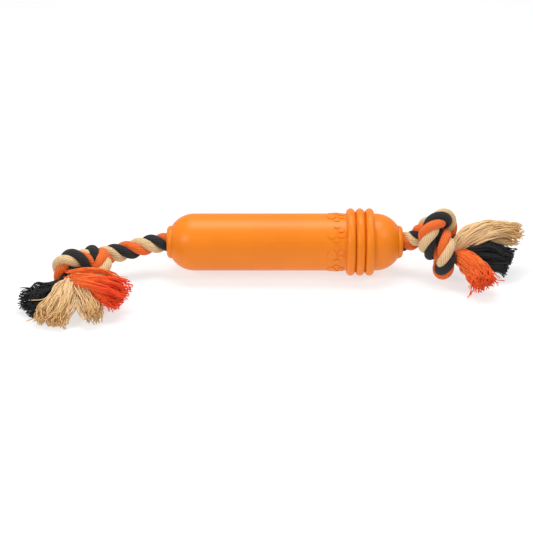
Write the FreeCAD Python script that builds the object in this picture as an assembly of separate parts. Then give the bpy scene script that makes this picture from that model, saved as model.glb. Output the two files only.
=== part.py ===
import FreeCAD, Part
import math
import os

os.makedirs("parts", exist_ok=True)

# Training bumper for dogs: a hollow rubber barrel threaded on a length of three-strand rope, with a knot
# and three frayed tassels at each end of the rope.
# Millimetres. +X runs along the barrel to its ribbed end, +Z is up, -Y faces the viewer.
# The origin is on the floor, under the middle of the barrel.

# ---------------------------------------------------------------- driving dimensions
BARREL_LENGTH = 206.0
BARREL_DIAMETER = 50.0
WALL = 5.0
DOME_RADIUS = 23.6           # round of each domed end, seen from the side
DOME_LENGTH = 24.0           # end of the barrel to where the straight part starts
COLLAR_WALL = 3.7            # rubber around the rim of a mouth
PLAIN_COLLAR = 4.8           # length of the collar at the plain end
RIBBED_COLLAR = 4.0          # length of the collar at the ribbed end
COLLAR_EDGE = 3.6            # round of a collar's outer edge
RIB_COUNT = 3
RIB_ROUND = 3.9              # radius of a rib's own round section
RIB_PROUD = 4.5              # how far a rib stands above the barrel
RIB_PITCH = 8.2
LAST_RIB = 29.2              # ribbed end of the barrel to the middle of the last rib
NECK = 13.0                  # rubber left around the rope at each end, along the axis
CAVITY_ROUND = 16.0          # round of the hollow's ends
FLARE = 9.0                  # depth of the mouth's widening

ROPE_DIAMETER = 17.0
ROPE_LAY = 34.0              # length of one turn of the rope's strands
STRANDS = ("black", "tan", "orange")
STRAND_GAP = 0.12            # room between two strands, and around the three
BLACK_TURN = 176.4           # how far the black strand is turned about the barrel's axis, in degrees
ROPE_CLEARANCE = 0.5         # rope to bore, all round
MOUTH_CLEARANCE = 2.1        # rope to the rim of a mouth, all round
ROOT_OUT = 4.0               # mouth to the middle of the bend that the rope makes there
ROOT_CLEARANCE = 0.3         # around the ball at each bend

PAW_COUNT = 8                # paw marks around the barrel
PAW_FROM_END = 59.0          # ribbed end of the barrel to the middle of the marks
PAW_PROUD = 0.7
HEEL_PAD = (3.9, 5.0)        # half its length along the barrel, and half its width around it
TOE_PAD = (2.5, 1.8)
HEEL_BACK = 3.4              # middle of the marks to the middle of a heel pad
TOES = ((-6.2, 0.6), (-2.3, 4.6), (2.3, 4.6), (6.2, 0.6))     # around and along from the middle of the marks

FLOOR_GAP = 0.5              # under a knot or a tassel that lies down

# ---------------------------------------------------------------- worked out from them
half = BARREL_LENGTH / 2
body_r = BARREL_DIAMETER / 2
rope_r = ROPE_DIAMETER / 2
bore_r = rope_r + ROPE_CLEARANCE
mouth_r = rope_r + MOUTH_CLEARANCE
collar_r = mouth_r + COLLAR_WALL
axis_z = body_r + RIB_PROUD
X_AXIS = FreeCAD.Vector(1, 0, 0)
Z_AXIS = FreeCAD.Vector(0, 0, 1)


def vec(x, y, z):
    return FreeCAD.Vector(x, y, z)


def save(name, shape):
    shape.exportStep("parts/" + name + ".step")


def single(shape):
    """The one solid of a boolean's result: its largest, where a cut left crumbs."""
    return max(shape.Solids, key=lambda s: s.Volume)


# ---------------------------------------------------------------- barrel
def dome_height(along):
    """Radius of the domed end at a distance along from the end of the barrel."""
    return body_r - DOME_RADIUS + math.sqrt(DOME_RADIUS ** 2 - (DOME_LENGTH - along) ** 2)


def point(side, along, radius):
    """A point of the outline: along is measured in from the end on that side."""
    return vec(side * (half - along), 0, axis_z + radius)


def end_outline(side, collar):
    """One end of the outline, from the rim of the mouth out over collar and dome to the straight part."""
    corner = COLLAR_EDGE * (1 - math.sqrt(0.5))
    middle = (collar + DOME_LENGTH) / 2
    rim = point(side, 0, mouth_r)
    face = point(side, 0, collar_r - COLLAR_EDGE)
    edge = point(side, COLLAR_EDGE, collar_r)
    step = point(side, collar, collar_r)
    dome = point(side, collar, dome_height(collar))
    top = point(side, DOME_LENGTH, body_r)
    return [
        Part.LineSegment(rim, face),
        Part.Arc(face, point(side, corner, collar_r - corner), edge),
        Part.LineSegment(edge, step),
        Part.LineSegment(step, dome),
        Part.Arc(dome, point(side, middle, dome_height(middle)), top),
    ]


def hollow_outline(side):
    """One end of the inside, from the rim of the mouth through the neck to the hollow's straight part."""
    wall_r = body_r - WALL
    centre_r = wall_r - CAVITY_ROUND
    centre = NECK + CAVITY_ROUND
    reach = math.sqrt(CAVITY_ROUND ** 2 - (bore_r - centre_r) ** 2)
    slant = CAVITY_ROUND * math.sqrt(0.5)
    neck_end = point(side, centre - reach, bore_r)
    return [
        Part.LineSegment(point(side, 0, mouth_r), point(side, FLARE, bore_r)),
        Part.LineSegment(point(side, FLARE, bore_r), neck_end),
        Part.Arc(neck_end, point(side, centre - slant, centre_r + slant), point(side, centre, wall_r)),
    ]


def rib(index):
    x = half - LAST_RIB - index * RIB_PITCH
    ring_r = body_r + RIB_PROUD - RIB_ROUND
    return Part.makeTorus(ring_r, RIB_ROUND, vec(x, 0, axis_z), X_AXIS)


def paw_pad(x, around, long_r, wide_r):
    """An oval post that stands out of the top of the barrel, at a distance around from its ridge."""
    post = Part.makeCylinder(1, WALL, vec(0, 0, 0), Z_AXIS)
    stretch = FreeCAD.Matrix()
    stretch.scale(long_r, wide_r, 1)
    post = post.transformGeometry(stretch)
    post.translate(vec(x, 0, axis_z + body_r - WALL / 2))
    post.rotate(vec(0, 0, axis_z), X_AXIS, math.degrees(around / body_r))
    return post


def paw_marks():
    """Raised paw marks in a ring: a heel pad and four toes each."""
    x = half - PAW_FROM_END
    posts = []
    for k in range(PAW_COUNT):
        paw = [paw_pad(x - HEEL_BACK, 0, *HEEL_PAD)]
        for around, along in TOES:
            paw.append(paw_pad(x + along, around, *TOE_PAD))
        for post in paw:
            post.rotate(vec(0, 0, axis_z), X_AXIS, 360.0 * k / PAW_COUNT)
            posts.append(post)
    skin = Part.makeCylinder(body_r + PAW_PROUD, 24, vec(x - 12, 0, axis_z), X_AXIS)
    return [post.common(skin) for post in posts]


def make_barrel():
    segments = end_outline(-1, PLAIN_COLLAR) + end_outline(1, RIBBED_COLLAR)
    segments += hollow_outline(-1) + hollow_outline(1)
    cavity = NECK + CAVITY_ROUND
    segments.append(Part.LineSegment(point(-1, DOME_LENGTH, body_r), point(1, DOME_LENGTH, body_r)))
    segments.append(Part.LineSegment(point(-1, cavity, body_r - WALL), point(1, cavity, body_r - WALL)))
    edges = Part.sortEdges([s.toShape() for s in segments])[0]
    face = Part.Face(Part.Wire(edges))
    barrel = face.revolve(vec(0, 0, axis_z), X_AXIS, 360)
    barrel = barrel.fuse([rib(k) for k in range(RIB_COUNT)])
    barrel = barrel.fuse(paw_marks())
    return single(barrel)


# ---------------------------------------------------------------- rope inside the barrel
def strand_size():
    """Radius of a strand, and of the ring its middle turns on, so that three strands just clear each other."""
    rise = ROPE_LAY / (2 * math.pi)
    outer = rope_r - STRAND_GAP
    low, high = 0.3 * outer, 0.6 * outer
    for _ in range(40):
        strand = (low + high) / 2
        ring = outer - strand
        gaps = []
        for k in range(0, 120):
            turn = -k / 100.0
            across = 2 * ring ** 2 * (1 - math.cos(turn + 2 * math.pi / 3))
            gaps.append(math.sqrt(across + (rise * turn) ** 2))
        if min(gaps) > 2 * strand + STRAND_GAP:
            low = strand
        else:
            high = strand
    return low, outer - low


def make_strand(index):
    """One strand of the rope where the barrel holds it, cut square just inside each mouth."""
    strand_r, ring_r = strand_size()
    end = half - (rope_r - ROOT_OUT) - ROOT_CLEARANCE
    length = 2 * (end + 0.5 * ROPE_LAY)
    helix = Part.makeHelix(ROPE_LAY, length, ring_r)
    start = vec(ring_r, 0, 0)
    tangent = vec(0, 2 * math.pi * ring_r, ROPE_LAY)
    section = Part.Wire(Part.Circle(start, tangent, strand_r).toShape())
    strand = Part.Wire(helix).makePipeShell([section], True, True)
    strand.rotate(vec(0, 0, 0), Z_AXIS, 120.0 * index)
    strand.rotate(vec(0, 0, 0), vec(0, 1, 0), 90)
    strand.translate(vec(-length / 2, 0, axis_z))
    strand.rotate(vec(0, 0, axis_z), X_AXIS, BLACK_TURN)
    window = Part.makeBox(2 * end, 4 * rope_r, 4 * rope_r, vec(-end, -2 * rope_r, axis_z - 2 * rope_r))
    return single(strand.common(window))


# ---------------------------------------------------------------- rope outside the barrel
def cord_wire(points):
    """Straight runs joined by arcs that leave and meet them tangent."""
    pieces = []
    radii = []
    start = points[0]
    for before, corner, after in zip(points, points[1:], points[2:]):
        back = (before - corner).normalize()
        ahead = (after - corner).normalize()
        turn = math.pi - back.getAngle(ahead)
        cut = 0.45 * min((before - corner).Length, (after - corner).Length)
        radius = cut / math.tan(turn / 2)
        inward = (back + ahead).normalize()
        depth = radius / math.cos(turn / 2) - radius
        leave = corner + back * cut
        meet = corner + ahead * cut
        pieces.append(Part.LineSegment(start, leave).toShape())
        pieces.append(Part.Arc(leave, corner + inward * depth, meet).toShape())
        radii.append(radius)
        start = meet
    pieces.append(Part.LineSegment(start, points[-1]).toShape())
    return Part.Wire(pieces), radii


def cord_tube(name, points, diameter):
    wire, radii = cord_wire(points)
    section = Part.Wire(Part.Circle(points[0], points[1] - points[0], diameter / 2).toShape())
    tube = wire.makePipeShell([section], True, False)
    share = tube.Volume / (math.pi * diameter ** 2 / 4 * wire.Length)
    if radii:
        print(name, "length %.1f" % wire.Length, "volume share %.4f" % share,
              "tightest radius %.1f" % min(radii))
    return tube


def bend_centre(side):
    """The middle of the rope's bend at a mouth."""
    return vec(side * (half + ROOT_OUT), 0, axis_z)


def make_root(side):
    """The rope's bend at a mouth, as a ball of the rope's own diameter."""
    return Part.makeSphere(rope_r, bend_centre(side))


def make_knot(centre, semi):
    knot = Part.makeSphere(1)
    stretch = FreeCAD.Matrix()
    stretch.scale(semi.x, semi.y, semi.z)
    knot = knot.transformGeometry(stretch)
    knot.translate(centre)
    return knot


def make_tassel(sections):
    """A frayed strand: a closed skin through ovals of a half width and a half height at each point."""
    places = [vec(*s[0]) for s in sections]
    wires = []
    for k, (place, wide, high) in enumerate(sections):
        ahead = (places[min(k + 1, len(places) - 1)] - places[max(k - 1, 0)]).normalize()
        across = Z_AXIS.cross(ahead).normalize()
        first = across * wide
        second = ahead.cross(across) * high
        turn = FreeCAD.Matrix(first.x, second.x, ahead.x, place[0], first.y, second.y, ahead.y, place[1],
                              first.z, second.z, ahead.z, place[2], 0, 0, 0, 1)
        ring = Part.Circle(vec(0, 0, 0), Z_AXIS, 1).toShape()
        wires.append(Part.Wire(ring.transformGeometry(turn)))
    return Part.makeLoft(wires, True)


def make_tail(side, route, knot_centre, knot_semi, tassels):
    """Rope, knot and tassels at one end. The pieces of a tail meet face to face."""
    name = "left_" if side < 0 else "right_"
    ball = Part.makeSphere(rope_r + ROOT_CLEARANCE, bend_centre(side))
    knot = make_knot(knot_centre, knot_semi)
    rope = cord_tube(name + "rope", [bend_centre(side)] + route, ROPE_DIAMETER)
    rope = single(rope.cut([ball, knot]))
    pieces = {name + "rope": rope, name + "knot": single(knot.cut(ball))}
    taken = [knot]
    for colour, sections in tassels:
        tassel = make_tassel(sections)
        pieces[name + colour + "_tassel"] = single(tassel.cut(taken))
        taken.append(tassel)
    return pieces


# A rope's points stay as chosen, measured from the middle of its bend at the mouth.
def from_bend(side, steps):
    return [bend_centre(side) + vec(*s) for s in steps]


LEFT_ROUTE = from_bend(-1, [(-10, -0.6, -1.1), (-24, -4, -4.5), (-42, -10.5, -6), (-54, -18, -5), (-64, -28, -7)])
RIGHT_ROUTE = from_bend(1, [(10, -0.5, 1.5), (19, -3, 1.0)])

LEFT_KNOT_SEMI = vec(25, 18.5, 19.5)
RIGHT_KNOT_SEMI = vec(20, 22, 29.5)
left_knot = bend_centre(-1) + vec(-67.5, -36, 0)
left_knot.z = LEFT_KNOT_SEMI.z + FLOOR_GAP
right_knot = bend_centre(1) + vec(26, -4.5, 0)
right_knot.z = RIGHT_KNOT_SEMI.z + FLOOR_GAP


def from_knot(knot, sections):
    """Sections whose middles are given across the floor from the knot's middle, and up from the floor."""
    return [((knot.x + x, knot.y + y, FLOOR_GAP + z), wide, high) for x, y, z, wide, high in sections]


LEFT_TASSELS = [
    ("black", from_knot(left_knot, [(-15, -13, 14, 7, 6), (-30, -25, 13, 13, 10), (-48, -44, 11.5, 17, 11)])),
    ("tan", from_knot(left_knot, [(-7, -14, 17, 7, 6), (-7, -41, 15, 17, 6), (-9, -66, 6.5, 28, 6)])),
    ("orange", from_knot(left_knot, [(-2, -14, 23, 7, 6), (12, -28, 21, 14, 8), (31, -32, 11, 20, 10)])),
]
RIGHT_TASSELS = [
    ("tan", from_knot(right_knot, [(12, 3, 28, 7, 7), (40, 6, 35, 9, 10), (71, 13, 30, 10, 13)])),
    ("black", from_knot(right_knot, [(13, -2, 18, 7, 6), (42, -4, 17, 10, 8), (65, -6, 14, 13, 12)])),
    ("orange", from_knot(right_knot, [(13, -8, 21, 7, 7), (29, -26, 20, 9, 7), (40, -45, 12, 13, 10)])),
]

save("barrel", make_barrel())
for k, colour in enumerate(STRANDS):
    save(colour + "_strand", make_strand(k))
for side, route, knot_centre, semi, tassels in (
    (-1, LEFT_ROUTE, left_knot, LEFT_KNOT_SEMI, LEFT_TASSELS),
    (1, RIGHT_ROUTE, right_knot, RIGHT_KNOT_SEMI, RIGHT_TASSELS),
):
    save("left_root" if side < 0 else "right_root", make_root(side))
    for node, shape in make_tail(side, route, knot_centre, semi, tassels).items():
        save(node, shape)
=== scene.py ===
# %% [markdown]
# # Training bumper
# A hollow rubber barrel slides over a rope laid from three strands. Past each mouth the rope is tied
# in a tight overhand knot, and past the knot its strands are unlaid into three frayed tassels.
#
# Units are metres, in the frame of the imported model: +X to the ribbed end, +Z up, -Y to the viewer.
# Here they only get a material. What is soft is made here: the rope outside the barrel, the knots
# and the tassels.

import math

import bpy
import numpy as np
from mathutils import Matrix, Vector


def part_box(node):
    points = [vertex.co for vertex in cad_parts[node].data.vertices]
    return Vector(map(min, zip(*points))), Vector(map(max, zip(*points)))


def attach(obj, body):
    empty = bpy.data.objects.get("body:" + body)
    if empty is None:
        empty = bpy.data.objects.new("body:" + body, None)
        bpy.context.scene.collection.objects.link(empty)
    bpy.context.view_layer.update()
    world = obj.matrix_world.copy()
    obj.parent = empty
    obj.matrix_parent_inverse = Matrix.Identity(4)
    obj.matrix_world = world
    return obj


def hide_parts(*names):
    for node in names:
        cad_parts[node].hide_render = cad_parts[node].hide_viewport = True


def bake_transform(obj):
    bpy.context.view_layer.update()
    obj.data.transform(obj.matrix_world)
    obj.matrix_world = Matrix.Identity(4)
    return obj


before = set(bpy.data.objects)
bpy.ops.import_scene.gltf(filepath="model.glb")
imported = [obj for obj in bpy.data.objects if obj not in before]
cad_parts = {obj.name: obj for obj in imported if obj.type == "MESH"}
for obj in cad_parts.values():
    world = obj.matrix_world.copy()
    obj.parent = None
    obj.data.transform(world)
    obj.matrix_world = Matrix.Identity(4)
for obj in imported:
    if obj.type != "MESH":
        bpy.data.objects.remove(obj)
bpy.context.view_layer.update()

# %% [markdown]
# ## Sizes
# The barrel's ends and axis, the rope's thickness and the small ball at each mouth about which the
# rope swings are read from the CAD model. Typing these numbers in again would also work, but they
# would be wrong as soon as the barrel changed. What can't be read from a box is stated in the script.
# Here it is the lay, which is the length of one full turn of a strand.

# %% Read the sizes
MM = 0.001
barrel_low, barrel_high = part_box("barrel")
half = barrel_high.x
axis_z = (barrel_low.z + barrel_high.z) / 2
bend = {-1: sum(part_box("left_root"), Vector()) / 2, 1: sum(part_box("right_root"), Vector()) / 2}
rope_r = (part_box("left_root")[1].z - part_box("left_root")[0].z) / 2
ROPE_LAY = 34 * MM
STRANDS = ("black", "tan", "orange")
SIDES = {-1: "left", 1: "right"}
print("barrel", round(2 * half / MM, 1), "mm long, rope", round(2 * rope_r / MM, 1), "mm thick")

# %% [markdown]
# ## Camera
# A product picture is taken with a long lens from well away, so that the far edges of the barrel look
# almost parallel. A lens of about 120 mm on a 36 mm sensor does the same here. The aim is a little
# below and to the left of the barrel's middle, because the longer tail lies to the left and towards
# the viewer. The camera could also be aimed with a Track To constraint. A plain angle is easier to
# read and stays the same in every view.

# %% Add the camera
CAMERA_RISE = math.radians(28)
CAMERA_AWAY = 1.6
CAMERA_LENS = 123.5          # mm, on a sensor 36 mm wide
AIM_LEFT = 16 * MM           # from the middle of the barrel
AIM_DOWN = 21.5 * MM


def add_camera():
    right = Vector((1, 0, 0))
    up = Vector((0, math.sin(CAMERA_RISE), math.cos(CAMERA_RISE)))
    back = Vector((0, -math.cos(CAMERA_RISE), math.sin(CAMERA_RISE)))
    aim = Vector((0, 0, axis_z)) - right * AIM_LEFT - up * AIM_DOWN
    data = bpy.data.cameras.new("camera")
    data.lens = CAMERA_LENS
    data.sensor_width = 36
    data.clip_start = 0.05
    camera = bpy.data.objects.new("camera", data)
    camera.location = aim + back * CAMERA_AWAY
    camera.rotation_euler = (math.radians(90) - CAMERA_RISE, 0, 0)
    bpy.context.collection.objects.link(camera)
    bpy.context.scene.camera = camera
    print("camera at", [round(x, 3) for x in camera.location])


add_camera()

# %% [markdown]
# ## Light
# Rubber and cotton both look best in broad soft light. One large area light overhead draws the pale
# band along the top of the barrel, and a smaller one at each side gives the small soft spots on its
# domes. The world's even white fills the shadows. An image of a studio would light it too, but area
# lights are easier to place, and they need no file. The Standard view transform keeps the saturated
# orange that a filmic one would wash out.

# %% Add the lights
WORLD_STRENGTH = 0.5
SOFTBOXES = (                # name, place, width, depth and watts
    ("overhead", (0, 0.2, 1.0), 0.8, 0.4, 7),
    ("left_front", (-0.9, -0.75, 0.75), 0.22, 0.22, 5),
    ("right_front", (1.0, -0.6, 1.3), 0.25, 0.25, 5),
)


def add_softbox(name, place, width, depth, watts):
    data = bpy.data.lights.new(name, "AREA")
    data.shape = "RECTANGLE"
    data.size = width
    data.size_y = depth
    data.energy = watts
    light = bpy.data.objects.new(name, data)
    light.location = place
    light.rotation_euler = (-Vector(place)).to_track_quat("-Z", "Y").to_euler()
    bpy.context.collection.objects.link(light)


def add_world():
    world = bpy.data.worlds.new("studio")
    world.use_nodes = True
    background = world.node_tree.nodes["Background"]
    background.inputs["Color"].default_value = (1, 1, 1, 1)
    background.inputs["Strength"].default_value = WORLD_STRENGTH
    bpy.context.scene.world = world


add_world()
for softbox in SOFTBOXES:
    add_softbox(*softbox)
bpy.context.scene.view_settings.view_transform = "Standard"

# %% [markdown]
# ## Lines in space
# Rope, strands and yarns are all tubes along a line, so a few small functions about lines do most of
# the work. `even` spaces the points of a line equally. `frames` carries a pair of cross directions
# along it without any twist of its own, which is what lets a strand wind round the line at exactly
# the rate we choose. A curve object with a bevel has such frames too, but it doesn't hand them to the
# script.

# %% Helpers for lines
def even(points, count):
    """The same line through count points at even steps, and the distance along it at each."""
    points = np.asarray(points, float)
    run = np.concatenate([[0], np.cumsum(np.linalg.norm(np.diff(points, axis=0), axis=1))])
    steps = np.linspace(0, run[-1], count)
    return np.stack([np.interp(steps, run, points[:, k]) for k in range(3)], 1), steps


def frames(points, up):
    """Direction and two cross directions at each point, turned as little as the line allows."""
    ahead = np.gradient(points, axis=0)
    ahead /= np.linalg.norm(ahead, axis=1)[:, None]
    first = np.zeros_like(points)
    cross = np.asarray(up, float)
    for k, direction in enumerate(ahead):
        cross = cross - np.dot(cross, direction) * direction
        cross = cross / np.linalg.norm(cross)
        first[k] = cross
    return ahead, first, np.cross(ahead, first)


def turn_about(axis, angle):
    x, y, z = axis / np.linalg.norm(axis)
    skew = np.array([[0, -z, y], [z, 0, -x], [-y, x, 0]])
    return np.eye(3) + math.sin(angle) * skew + (1 - math.cos(angle)) * skew @ skew


def turn_between(start, end):
    start, end = start / np.linalg.norm(start), end / np.linalg.norm(end)
    axis = np.cross(start, end)
    return turn_about(axis, math.atan2(np.linalg.norm(axis), start @ end))


def blend_steps(x, start, end):
    t = np.clip((x - start) / (end - start), 0, 1)
    return t * t * (3 - 2 * t)


# %% [markdown]
# ## The knot
# At each end the rope is tied in an overhand knot and pulled tight, which stops the barrel from
# sliding off. A knot is hard to draw by hand, because every part of it presses on another. So it is
# tied the way a hand ties it: a loose trefoil between two pins is shortened step by step, and
# wherever it comes nearer to itself than its own thickness, it is pushed apart. A rope of diameter 1
# is used, and the result is scaled. A cloth or rigid body simulation could do this as well, but it
# takes longer to set up and is harder to repeat exactly.

# %% Pull an overhand knot tight
KNOT_POINTS = 110
KNOT_STEPS = 900             # the last ones move no point by more than 0.001 diameters
KNOT_PINS = 4.5              # half the distance between the pins, in rope diameters
KNOT_PULL = 0.45             # share of the way to the middle of its neighbours, in a step
KNOT_PUSHES = 6              # times that touching parts are pushed apart in a step
KNOT_PUSH = 0.2              # share of an overlap that one push takes off each part
ALONG_APART = 1.35           # parts nearer than this along the rope are neighbours, not a touch
TREFOIL_SIZE = 1.6
TREFOIL_ENDS = 2.08
KNOT_BODY = 1.9              # what is nearer to the middle than this is centred


def tight_knot():
    """The middle line of a tight overhand knot on a rope of diameter 1, along X, centred."""
    t = np.linspace(TREFOIL_ENDS, -TREFOIL_ENDS, KNOT_POINTS)
    trefoil = [t ** 3 - 3 * t, (t ** 4 - 4 * t ** 2) / 2, (t ** 5 - 10 * t) / 8]
    loose = TREFOIL_SIZE * np.stack(trefoil, 1)
    pins = np.array([[-KNOT_PINS, 0, 0], [KNOT_PINS, 0, 0]])
    if loose[0, 0] > 0:
        loose = loose[::-1]
    line, _ = even(np.concatenate([pins[:1], loose, pins[1:]]), KNOT_POINTS)
    for _ in range(KNOT_STEPS):
        line[1:-1] += KNOT_PULL * ((line[:-2] + line[2:]) / 2 - line[1:-1])
        line, run = even(line, KNOT_POINTS)
        apart = max(3, math.ceil(ALONG_APART / run[1]))
        first, second = np.triu_indices(KNOT_POINTS, apart)
        for _ in range(KNOT_PUSHES):
            gap = line[first] - line[second]
            size = np.linalg.norm(gap, axis=1) + 1e-9
            close = size < 1
            if not close.any():
                break
            push = (KNOT_PUSH * (1 - size[close]) / size[close])[:, None] * gap[close]
            np.add.at(line, first[close], push)
            np.add.at(line, second[close], -push)
            line[0], line[-1] = pins
    body = line[np.abs(line[:, 0]) < KNOT_BODY]
    return line - (body.min(0) + body.max(0)) / 2


KNOT = tight_knot()
knot_run = float(np.linalg.norm(np.diff(KNOT, axis=0), axis=1).sum())
print("knot and its ends take", round(knot_run, 1), "diameters of rope")

# %% [markdown]
# ## Where each knot sits
# The same tight knot serves both ends. It is turned so that the rope goes through it in the right
# direction, rolled about that direction, and scaled to the size that the rope really packs down to.
# The part past the knot is cut short, since the strands come apart there.

# %% Turn and place a knot
FINE_POINTS = 400            # to measure along the knot
CONTROL_POINTS = 34          # to draw it from


def placed_knot(centre, axis, roll, thickness, reach, cut):
    """The knot turned so that the rope goes through it along axis. It keeps reach diameters of rope
    each way from its middle, less a length of cut diameters at the end."""
    line, run = even(KNOT[np.abs(KNOT[:, 0]) < reach], FINE_POINTS)
    points, _ = even(line[run < run[-1] - cut], CONTROL_POINTS)
    axis = np.array(axis, float)
    turn = turn_about(axis, math.radians(roll)) @ turn_between(np.array([1.0, 0, 0]), axis)
    return np.array(centre) + thickness * points @ turn.T


# %% [markdown]
# ## The rope's line
# The rope leaves the mouth straight, sags to the floor and runs into the knot. Its line is one NURBS
# spline: the first control points keep near the route that the CAD tube takes, and the rest are those
# of the placed knot, so there is no kink where the knot begins. A Bezier spline would pass through
# its points, but it needs two handles for each. A NURBS of order 3 stays close to its points by
# itself.

# %% Draw the rope's middle line
def nurbs_line(name, points, count):
    """Points read from a NURBS spline that has the given points as its control points."""
    curve = bpy.data.curves.new(name, "CURVE")
    curve.dimensions = "3D"
    curve.resolution_u = 12
    spline = curve.splines.new("NURBS")
    spline.points.add(len(points) - 1)
    for point, place in zip(spline.points, points):
        point.co = (*place, 1)
    spline.order_u = 3
    spline.use_endpoint_u = True
    carrier = bpy.data.objects.new(name, curve)
    mesh = bpy.data.meshes.new_from_object(carrier)
    line = np.array([v.co for v in mesh.vertices])
    bpy.data.objects.remove(carrier)
    bpy.data.meshes.remove(mesh)
    bpy.data.curves.remove(curve)
    return even(line, count)


LINE_POINTS = 420
# Millimetres from the middle of the bend at each mouth.
ROUTES = {
    -1: [(7, 0, 0), (-10, -0.6, -1.1), (-24, -4, -4.5), (-42, -10.5, -6), (-54, -18, -5)],
    1: [(-7, 0, 0), (3, -0.2, 0.8), (8, 0.5, 3)],
}
KNOTS = {
    -1: dict(centre=(-67, -38, -7.7), axis=(-0.9, -0.3, -0.12), roll=-8,
             thickness=13, reach=1.35, cut=0.9),
    1: dict(centre=(29.5, -7, 2.2), axis=(0.42, -0.25, -0.87), roll=8,
            thickness=16, reach=1.4, cut=0.9),
}
# Extra turn of the strands, in degrees, at shares of the rope's length. A knot works them loose.
LAY_SHIFT = {
    -1: [(0, 0), (0.23, 0), (0.4, 128), (0.58, 20), (0.72, 115), (1, 120)],
    1: [(0, 0), (0.12, 130), (0.53, 135), (0.65, 245), (1, 235)],
}


def rope_line(side):
    route = np.array(bend[side]) + np.array(ROUTES[side]) * MM
    knot = dict(KNOTS[side])
    knot["centre"] = np.array(bend[side]) + np.array(knot["centre"]) * MM
    knot["thickness"] *= MM
    return nurbs_line(SIDES[side] + "_route", [*route, *placed_knot(**knot)], LINE_POINTS)


for side, name in SIDES.items():
    print(name, "rope line", round(float(rope_line(side)[1][-1]) / MM), "mm long")

# %% [markdown]
# ## Tubes
# One function turns lines into closed tubes, many of them in one mesh. It is used for thick strands
# with 24 sides and for thousands of thin yarns with 5. It also lays out the UV map: once round the
# tube across, and in metres along, which is what the yarn material needs. Curve objects with a bevel
# would be shorter to write, but thousands of them are slow, and their UV map would not be in metres.

# %% Make a mesh of tubes
def tube_mesh(name, tubes, sides):
    """One mesh of closed tubes. Each tube is its points and its radius at each point.
    Its UV map runs once round a tube, and in metres along it."""
    verts, faces, corner_uvs = [], [], []
    angles = np.linspace(0, 2 * math.pi, sides, endpoint=False)
    for points, radius, up in tubes:
        ahead, first, second = frames(points, up)
        ring = np.cos(angles)[None, :, None] * first[:, None]
        ring = ring + np.sin(angles)[None, :, None] * second[:, None]
        ring = points[:, None] + ring * np.asarray(radius)[:, None, None]
        base = len(verts)
        verts.extend(ring.reshape(-1, 3))
        run = np.concatenate([[0], np.cumsum(np.linalg.norm(np.diff(points, axis=0), axis=1))])
        for k in range(len(points) - 1):
            for a in range(sides):
                b = (a + 1) % sides
                low, high = base + k * sides, base + (k + 1) * sides
                faces.append((low + a, low + b, high + b, high + a))
                corner_uvs += [(a / sides, run[k]), ((a + 1) / sides, run[k]),
                               ((a + 1) / sides, run[k + 1]), (a / sides, run[k + 1])]
        for k, order in ((0, range(sides - 1, -1, -1)), (len(points) - 1, range(sides))):
            faces.append(tuple(base + k * sides + a for a in order))
            corner_uvs += [(a / sides, run[k]) for a in order]
    mesh = bpy.data.meshes.new(name)
    mesh.from_pydata([tuple(v) for v in verts], [], faces)
    layer = mesh.uv_layers.new(name="UVMap")
    layer.data.foreach_set("uv", np.array(corner_uvs, np.float32).reshape(-1))
    mesh.polygons.foreach_set("use_smooth", [True] * len(faces))
    mesh.update()
    piece = bpy.data.objects.new(name, mesh)
    bpy.context.collection.objects.link(piece)
    return piece


# %% [markdown]
# ## The yarn shader
# A strand of this rope is a bundle of soft cotton yarns that lie almost along the rope, since they
# are twisted the other way from the strands. Close up you see fine slanting lines and a little fuzz.
# The strands and the tassels share this look, so it is a node group. Its outputs are a height that
# the materials paint as shade in the valleys, a mask for the cut ends and a bumped normal. Each
# material then chooses its own colours. Real fibres could be modelled as hair, but they would be far
# too many to export.

# %% Build the yarn shader group
def new_material(name):
    material = bpy.data.materials.new(name)
    material.use_nodes = True
    return material, material.node_tree.nodes, material.node_tree.links


YARN_INPUTS = {"Yarns round": 14.0, "Slant": 180.0, "Depth": 0.3}
WOBBLE_SCALE, WOBBLE_SHARE = 260, 0.9
FUZZ_SCALE, FUZZ_SHARE = 1500, 1.2
WAVE_SHARE = 0.8
YARN_BUMP = 0.5 * MM
TIP_FROM, TIP_TO = 42 * MM, 66 * MM      # where a tassel's colour turns into that of its cut end


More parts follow.
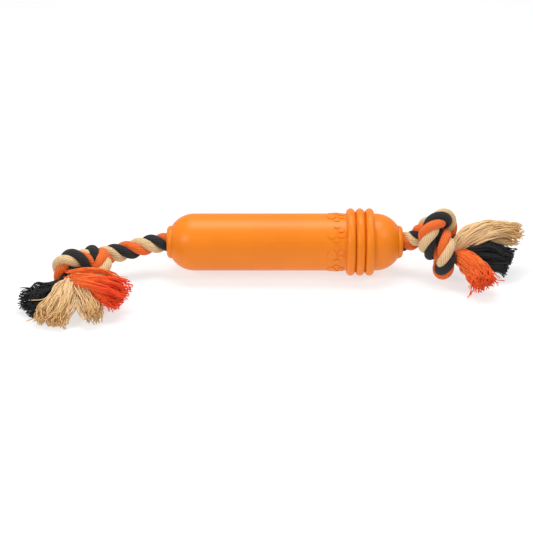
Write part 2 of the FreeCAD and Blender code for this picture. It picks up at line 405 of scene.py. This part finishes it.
def yarn_group():
    """Fine twisted yarns on a strand or tassel: a height for painted valley shade, a tip mask, a
    normal.
    """
    group = bpy.data.node_groups.new("yarn_surface", "ShaderNodeTree")
    for name, value in YARN_INPUTS.items():
        socket = group.interface.new_socket(name, in_out="INPUT", socket_type="NodeSocketFloat")
        socket.default_value = value
    group.interface.new_socket("Shade", in_out="OUTPUT", socket_type="NodeSocketFloat")
    group.interface.new_socket("Tip", in_out="OUTPUT", socket_type="NodeSocketFloat")
    group.interface.new_socket("Normal", in_out="OUTPUT", socket_type="NodeSocketVector")
    nodes, links = group.nodes, group.links
    given = nodes.new("NodeGroupInput")
    out = nodes.new("NodeGroupOutput")
    coords = nodes.new("ShaderNodeTexCoord")
    split = nodes.new("ShaderNodeSeparateXYZ")
    links.new(coords.outputs["UV"], split.inputs[0])
    wobble = nodes.new("ShaderNodeTexNoise")
    wobble.inputs["Scale"].default_value = WOBBLE_SCALE
    wobble.inputs["Detail"].default_value = 3
    links.new(coords.outputs["Object"], wobble.inputs["Vector"])

    def maths(operation, a, b):
        node = nodes.new("ShaderNodeMath")
        node.operation = operation
        for socket, value in zip(node.inputs, (a, b)):
            if isinstance(value, (int, float)):
                socket.default_value = value
            else:
                links.new(value, socket)
        return node.outputs[0]

    around = maths("MULTIPLY", split.outputs["X"], given.outputs["Yarns round"])
    along = maths("MULTIPLY", split.outputs["Y"], given.outputs["Slant"])
    shift = maths("MULTIPLY", wobble.outputs["Fac"], WOBBLE_SHARE)
    phase = maths("ADD", maths("ADD", around, along), shift)
    wave = maths("SINE", maths("MULTIPLY", phase, 2 * math.pi), 0)
    shade = maths("MULTIPLY_ADD", wave, 0.5)
    shade.node.inputs[2].default_value = 0.5
    fuzz = nodes.new("ShaderNodeTexNoise")
    fuzz.inputs["Scale"].default_value = FUZZ_SCALE
    fuzz.inputs["Detail"].default_value = 5
    links.new(coords.outputs["Object"], fuzz.inputs["Vector"])
    rough = maths("MULTIPLY", fuzz.outputs["Fac"], FUZZ_SHARE)
    height = maths("ADD", maths("MULTIPLY", shade, WAVE_SHARE), rough)
    bump = nodes.new("ShaderNodeBump")
    bump.inputs["Distance"].default_value = YARN_BUMP
    links.new(given.outputs["Depth"], bump.inputs["Strength"])
    links.new(height, bump.inputs["Height"])
    tip = nodes.new("ShaderNodeMapRange")
    tip.inputs["From Min"].default_value = TIP_FROM
    tip.inputs["From Max"].default_value = TIP_TO
    links.new(split.outputs["Y"], tip.inputs["Value"])
    links.new(tip.outputs["Result"], out.inputs["Tip"])
    links.new(height, out.inputs["Shade"])
    links.new(bump.outputs["Normal"], out.inputs["Normal"])
    return group


YARN = yarn_group()
print("group", YARN.name, [item.name for item in YARN.interface.items_tree])

# %% [markdown]
# ## Yarn colours
# Three strands, three dyes: black, natural tan and orange. Each has a painted shade for the valleys
# between the yarns and a lighter colour for their crests. The cut ends of a tassel hold more dye or
# more dirt, so each colour has a slightly different tip. A tassel's colours are painted a little
# brighter than its strand's, as painted light on its loose yarns. Cotton is matt, with a faint sheen
# at grazing angles.

# %% Make the yarn materials
def yarn_material(name, valley_shade, light, tip, sheen, yarns, slant, depth):
    material, nodes, links = new_material(name)
    shader = nodes["Principled BSDF"]
    yarn = nodes.new("ShaderNodeGroup")
    yarn.node_tree = YARN
    yarn.inputs["Yarns round"].default_value = yarns
    yarn.inputs["Slant"].default_value = slant
    yarn.inputs["Depth"].default_value = depth
    # The ramp paints shade into the valleys between the yarns, and the fuzz in the height adds uneven
    # tone.
    ramp = nodes.new("ShaderNodeValToRGB")
    ramp.color_ramp.elements[0].position = 0.45
    ramp.color_ramp.elements[0].color = (*valley_shade, 1)
    ramp.color_ramp.elements[1].position = 1.0
    ramp.color_ramp.elements[1].color = (*light, 1)
    links.new(yarn.outputs["Shade"], ramp.inputs["Fac"])
    colour = ramp.outputs["Color"]
    if tip:
        mix = nodes.new("ShaderNodeMix")
        mix.data_type = "RGBA"
        links.new(yarn.outputs["Tip"], mix.inputs[0])
        links.new(colour, mix.inputs[6])
        mix.inputs[7].default_value = (*tip, 1)
        colour = mix.outputs[2]
    links.new(colour, shader.inputs["Base Color"])
    links.new(yarn.outputs["Normal"], shader.inputs["Normal"])
    shader.inputs["Roughness"].default_value = 0.85
    shader.inputs["Specular IOR Level"].default_value = 0.15
    shader.inputs["Sheen Weight"].default_value = sheen
    shader.inputs["Sheen Roughness"].default_value = 0.5
    return material


# The first colour of each is a painted shade for the valleys between the yarns, the second the colour
# of their crests.
YARN_COLOURS = {
    "black": dict(valley_shade=(0.006, 0.006, 0.007), light=(0.030, 0.031, 0.033),
                  tip=(0.024, 0.025, 0.027), sheen=0.08),
    "tan": dict(valley_shade=(0.46, 0.28, 0.11), light=(0.84, 0.59, 0.32),
                tip=(0.72, 0.44, 0.18), sheen=0.2),
    "orange": dict(valley_shade=(0.62, 0.085, 0.012), light=(0.92, 0.18, 0.03),
                   tip=(0.90, 0.07, 0.012), sheen=0.12),
}
STRAND_YARNS = dict(yarns=13, slant=420, depth=0.9)
TASSEL_YARNS = dict(yarns=2, slant=500, depth=0.3)
TASSEL_PAINTED_LIGHT = 1.16
STRAND_MATERIAL = {}
TASSEL_MATERIAL = {}
for colour, finish in YARN_COLOURS.items():
    plain = {**finish, "tip": None}
    STRAND_MATERIAL[colour] = yarn_material(colour + "_strand", **plain, **STRAND_YARNS)
    # Each tassel takes its strand's colours painted brighter: painted light on its loose yarns.
    loose = dict(finish)
    for key in ("valley_shade", "light"):
        loose[key] = tuple(min(1, TASSEL_PAINTED_LIGHT * c) for c in finish[key])
    TASSEL_MATERIAL[colour] = yarn_material(colour + "_tassel", **loose, **TASSEL_YARNS)
print("yarn materials", len(STRAND_MATERIAL) + len(TASSEL_MATERIAL))


# %% [markdown]
# ## Rubber
# The barrel is moulded in one piece from orange rubber. It is nearly even in colour, with a satin
# gloss that spreads the overhead light into a soft band. A faint cloud of noise keeps the colour from
# looking like paint, and a very fine bump breaks up the gloss. Nothing is painted on: the ribs,
# collars and raised paw marks are real shapes in the CAD model.

# %% Make the rubber and paint the CAD parts
RUBBER_LOW = (0.80, 0.20, 0.002)
RUBBER_HIGH = (0.86, 0.225, 0.003)
RUBBER_BUMP = 0.3 * MM


def rubber_material():
    material, nodes, links = new_material("barrel_rubber")
    shader = nodes["Principled BSDF"]
    coords = nodes.new("ShaderNodeTexCoord")
    cloud = nodes.new("ShaderNodeTexNoise")
    cloud.inputs["Scale"].default_value = 22
    cloud.inputs["Detail"].default_value = 3
    links.new(coords.outputs["Object"], cloud.inputs["Vector"])
    ramp = nodes.new("ShaderNodeValToRGB")
    ramp.color_ramp.elements[0].position = 0.35
    ramp.color_ramp.elements[0].color = (*RUBBER_LOW, 1)
    ramp.color_ramp.elements[1].position = 0.7
    ramp.color_ramp.elements[1].color = (*RUBBER_HIGH, 1)
    links.new(cloud.outputs["Fac"], ramp.inputs["Fac"])
    links.new(ramp.outputs["Color"], shader.inputs["Base Color"])
    skin = nodes.new("ShaderNodeTexNoise")
    skin.inputs["Scale"].default_value = 420
    skin.inputs["Detail"].default_value = 5
    links.new(coords.outputs["Object"], skin.inputs["Vector"])
    bump = nodes.new("ShaderNodeBump")
    bump.inputs["Strength"].default_value = 0.12
    bump.inputs["Distance"].default_value = RUBBER_BUMP
    links.new(skin.outputs["Fac"], bump.inputs["Height"])
    links.new(bump.outputs["Normal"], shader.inputs["Normal"])
    shader.inputs["Roughness"].default_value = 0.4
    shader.inputs["Specular IOR Level"].default_value = 0.35
    return material


def give(piece, material):
    piece.data.materials.clear()
    piece.data.materials.append(material)


def paint_node(name, material):
    node = bpy.data.objects[name]
    for slot in node.material_slots:
        slot.material = material


paint_node("barrel", rubber_material())
for colour in STRANDS:
    paint_node(colour + "_strand", STRAND_MATERIAL[colour])
print("painted barrel and", len(STRANDS), "strands inside it")

# %% [markdown]
# ## Strands
# Each strand is a helix round the rope's line, one turn for each lay, and the three are a third of a
# turn apart. At the mouth each one carries on from where the CAD strand inside the barrel ends. In a
# knot a rope gives: it closes up where it is squeezed and opens where it is bent, so the turn is
# shifted a little there, and the strands swell until they touch. A twisted array modifier would make
# a straight rope, but it would not follow these changes.

# %% Wind three strands round each line
FREE_RING, FREE_STRAND = 4.6 * MM, 3.95 * MM      # the helix's radius, and the strand's own
KNOT_RING, KNOT_STRAND = 3.9 * MM, 4.2 * MM
TIGHTENS = (0.75, 1.15)      # shares of the free stretch between which one becomes the other
BLACK_FACES_OUT = (-109 * MM, math.radians(152))  # place along the barrel, black strand's angle


def strand_phase(side, x):
    """Angle of the black strand from straight up, about the rope's direction out of the barrel."""
    theta = BLACK_FACES_OUT[1] + 2 * math.pi * (x - BLACK_FACES_OUT[0]) / ROPE_LAY
    return side * (theta - math.pi / 2)


def strand_lines(side):
    line, run = rope_line(side)
    ahead, first, second = frames(line, (0, 0, 1))
    free = np.linalg.norm(np.array(ROUTES[side][-1]) - np.array(ROUTES[side][0])) * MM
    tight = blend_steps(run, TIGHTENS[0] * free, TIGHTENS[1] * free)
    ring = FREE_RING + (KNOT_RING - FREE_RING) * tight
    radius = FREE_STRAND + (KNOT_STRAND - FREE_STRAND) * tight
    shares, shifts = zip(*LAY_SHIFT[side])
    turn = strand_phase(side, line[0][0]) + 2 * math.pi * run / ROPE_LAY
    turn += np.radians(np.interp(run / run[-1], shares, shifts))
    lines = {}
    for k, colour in enumerate(STRANDS):
        angle = turn + side * k * 2 * math.pi / 3
        offset = np.cos(angle)[:, None] * first + np.sin(angle)[:, None] * second
        lines[colour] = (line + ring[:, None] * offset, radius)
    return lines, ahead[-1]


strands = {}
rope_ends = {}
for side, name in SIDES.items():
    lines, rope_ends[side] = strand_lines(side)
    for colour, (points, radius) in lines.items():
        strands[side, colour] = (points, radius)
print("wound", len(strands), "strands")

# %% [markdown]
# ## Tassels
# Past the knot each strand is unlaid into its yarns, and the ends are cut. A tassel starts as thick
# as its strand, keeps some of its twist, opens into wavy locks and frays at the end.
#
# For each bunch the table holds the points that it leans towards, from the middle of the bend, its
# half width and half height at the end, the share of its length at which it is fully open, about how
# many yarns it has, and how far their ends scatter. Lengths in it are in millimetres. The left tan
# strand falls in two bunches, and one of its yarns strays over the black tassel. A hair system would
# grow yarns from a surface, but here they grow out of a strand, and mesh tubes export as they are.

# %% Tassel sizes
TASSELS = {
    (-1, "black"): [
        dict(via=[(-73, -44, -27), (-91, -58, -22), (-109, -80, -19)],
             wide=16, high=10, opens=0.75, yarns=560, fray=1.8),
    ],
    (-1, "tan"): [
        dict(via=[(-72, -64, 0), (-80, -76, -12), (-88, -102, -24)],
             wide=18, high=5, opens=1.0, yarns=416, fray=3),
        dict(via=[(-66, -64, 0), (-60, -76, -10), (-53, -99, -22)],
             wide=9, high=6, opens=0.8, yarns=260, fray=3),
        dict(via=[(-80, -66, 0), (-84, -94, -8), (-98, -102, -10), (-110, -86, -10)],
             wide=1, high=1, opens=1, yarns=1, fray=0),
    ],
    (-1, "orange"): [
        dict(via=[(-60, -66, -2), (-46, -67, -4), (-32, -68, -18)],
             wide=21, high=11, opens=0.85, yarns=650, fray=3.5),
    ],
    (1, "tan"): [
        dict(via=[(52, -2, 12), (75, 4, 12), (97, 9, 1)],
             wide=9, high=11, opens=0.5, yarns=494, fray=1.5),
    ],
    (1, "black"): [
        dict(via=[(56, -4, -2), (72, -8, -8), (90, -10, -15)],
             wide=12, high=11, opens=0.6, yarns=520, fray=2.4),
    ],
    (1, "orange"): [
        dict(via=[(47, -20, 0), (55, -30, -6), (65, -49, -17)],
             wide=11, high=8.5, opens=0.7, yarns=468, fray=3.5),
    ],
}
YARN_RADIUS = 0.42 * MM
YARN_SIDES = 5
YARN_STEPS = 22
YARN_THICKNESS = (0.75, 1.15)          # shares of YARN_RADIUS
YARN_WAVE = 0.65 * MM
YARN_WAVES = (2, 4.5)                  # how many from root to end
LOCKS = 26
LOCK_RADIUS = (1.4 * MM, 3.1 * MM)     # at the root and at the cut end
LOCK_WAVE = (2.1 * MM, 1.7 * MM)       # across and up
LOCK_WAVES = (1.0, 2.4)
LOCK_SPREAD = 0.92                     # share of the tassel's section that holds the locks' middles
ROOT_TWIST = 2.2                       # radians of the strand's own twist that are left at the root
FRAY_FROM = 0.78                       # share of a yarn's length where its end starts to scatter
STRAY_SHARE = 0.04
STRAY_REACH = 2.2
STRAY_THICKNESS = 0.5
FLOOR_LIFT = (0.2, 1.2)                # mm that a yarn keeps above the floor
LEAD = 7 * MM                          # how far a strand keeps its direction before it opens
ROOT_RADIUS = 0.9 * KNOT_STRAND
OPENS_BEFORE = -0.25                   # the opening starts this share of opens before the root
print("tassels planned", len(TASSELS))

# %% [markdown]
# ## Growing one bunch
# The bunch follows a smooth guide. Each lock has its own place in the oval section and its own slow
# waves, and each yarn has its own place in its lock. A few yarns stray further out. All chance comes
# from a numbered random generator, so the tassels are the same in every run. Yarns that would sink
# into the floor are laid on it.

# %% Grow one bunch of yarns
def bezier(points, count):
    """A smooth line from the first point to the last that leans to the ones between them."""
    t = np.linspace(0, 1, count)[:, None]
    n = len(points) - 1
    line = 0
    for k, point in enumerate(points):
        line = line + math.comb(n, k) * t ** k * (1 - t) ** (n - k) * np.array(point)
    return line


def wave(rng, t, size, turns):
    """Waves that start from nothing at the root."""
    return size * t * np.sin(2 * math.pi * (rng.uniform(*turns) * t + rng.uniform()))


def bunch_tubes(start, direction, side, via, wide, high, opens, yarns, fray, rng):
    via = [np.array(bend[side]) + np.array(v) * MM for v in via]
    guide, _ = even(bezier([start, start + direction * LEAD, *via], 80), YARN_STEPS)
    t = np.linspace(0, 1, YARN_STEPS)
    _, up, across = frames(guide, (0, 0, 1))
    opened = blend_steps(t, OPENS_BEFORE * opens, opens)
    half_wide = ROOT_RADIUS * (1 - opened) + wide * MM * opened
    half_high = ROOT_RADIUS * (1 - opened) + high * MM * opened
    lock_radius = LOCK_RADIUS[0] + (LOCK_RADIUS[1] - LOCK_RADIUS[0]) * t
    locks = min(LOCKS, yarns)
    tubes = []
    for _ in range(locks):
        rho = math.sqrt(rng.uniform()) * LOCK_SPREAD
        phi = rng.uniform(0, 2 * math.pi) - ROOT_TWIST * (1 - t) ** 2
        lock_x = rho * np.cos(phi) * half_wide + wave(rng, t, LOCK_WAVE[0], LOCK_WAVES)
        lock_y = rho * np.sin(phi) * half_high + wave(rng, t, LOCK_WAVE[1], LOCK_WAVES)
        twist = rng.uniform(-3, -1)
        for _ in range(yarns // locks):
            stray = rng.uniform() < STRAY_SHARE
            spread = math.sqrt(rng.uniform()) * (STRAY_REACH if stray else 1)
            around = rng.uniform(0, 2 * math.pi) + twist * t
            end = np.clip((t - FRAY_FROM) / (1 - FRAY_FROM), 0, 1) ** 2 * fray * MM
            reach = spread * lock_radius
            x = lock_x + reach * np.cos(around)
            x = x + wave(rng, t, YARN_WAVE, YARN_WAVES) + end * rng.normal()
            y = lock_y + reach * np.sin(around)
            y = y + wave(rng, t, YARN_WAVE, YARN_WAVES) + end * rng.normal()
            points = guide + across * x[:, None] + up * y[:, None]
            points = points[:YARN_STEPS - int(rng.integers(0, 4))]
            thickness = STRAY_THICKNESS if stray else rng.uniform(*YARN_THICKNESS)
            radius = np.full(len(points), YARN_RADIUS * thickness)
            points[:, 2] = np.maximum(points[:, 2], radius + rng.uniform(*FLOOR_LIFT) * MM)
            tubes.append((points, radius, (0, 0, 1)))
    return tubes


# %% [markdown]
# ## Making the tassels
# Each tassel replaces its plain CAD stand-in and rides on the same body, so it swings with its tail.

# %% Make the tassels
for number, ((side, colour), bunches) in enumerate(TASSELS.items()):
    rng = np.random.default_rng(number + 1)
    start = strands[side, colour][0][-1]
    tubes = []
    for bunch in bunches:
        tubes += bunch_tubes(start, rope_ends[side], side, rng=rng, **bunch)
    tassel = tube_mesh(f"{SIDES[side]}_{colour}_fringe", tubes, YARN_SIDES)
    give(tassel, TASSEL_MATERIAL[colour])
    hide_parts(f"{SIDES[side]}_{colour}_tassel")
    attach(tassel, SIDES[side] + "_tail")
    print(tassel.name, len(tubes), "yarns")

# %% [markdown]
# ## The strands' tubes
# Each wound strand is a tube of a known length that ends in a knot. The black one stands for the
# plain CAD rope, knot and ball, since one piece has to, and these are hidden. Its points are not
# blended between the ball and the tail, so it does not bend at the mouth when the tail swings.
# Splitting the strands at the mouth would be simpler, but a gap would open there.

# %% Make the strands
STRAND_SIDES = 24
BEND_FROM, BEND_TO = -3 * MM, 12 * MM      # from the middle of the bend, out along the rope

for (side, colour), (points, radius) in strands.items():
    name = SIDES[side]
    strand = tube_mesh(f"{name}_{colour}_lay", [(points, radius, (0, 0, 1))], STRAND_SIDES)
    give(strand, STRAND_MATERIAL[colour])
    if colour == "black":
        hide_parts(f"{name}_rope", f"{name}_knot", f"{name}_root")
    start = bend[side] + Vector((side * BEND_FROM, 0, 0))
    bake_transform(strand)

# %% [markdown]
# ## Floor
# The toy lies on a white sweep of paper. A large plane does, with a little light of its own, so that
# it stays white under soft light while the shadows under the toy still show. A shadow catcher would
# need compositing.

# %% Add the floor
FLOOR_REACH = 6
FLOOR_GREY = 0.36
FLOOR_GLOW = 0.64


def add_floor():
    mesh = bpy.data.meshes.new("floor")
    square = ((-1, -1), (1, -1), (1, 1), (-1, 1))
    corners = [(x * FLOOR_REACH, y * FLOOR_REACH, 0) for x, y in square]
    mesh.from_pydata(corners, [], [(0, 1, 2, 3)])
    floor = bpy.data.objects.new("floor", mesh)
    bpy.context.collection.objects.link(floor)
    material, nodes, links = new_material("floor")
    shader = nodes["Principled BSDF"]
    shader.inputs["Base Color"].default_value = (FLOOR_GREY, FLOOR_GREY, FLOOR_GREY, 1)
    shader.inputs["Roughness"].default_value = 0.8
    shader.inputs["Specular IOR Level"].default_value = 0.1
    shader.inputs["Emission Color"].default_value = (1, 1, 1, 1)
    shader.inputs["Emission Strength"].default_value = FLOOR_GLOW
    floor.data.materials.append(material)


add_floor()
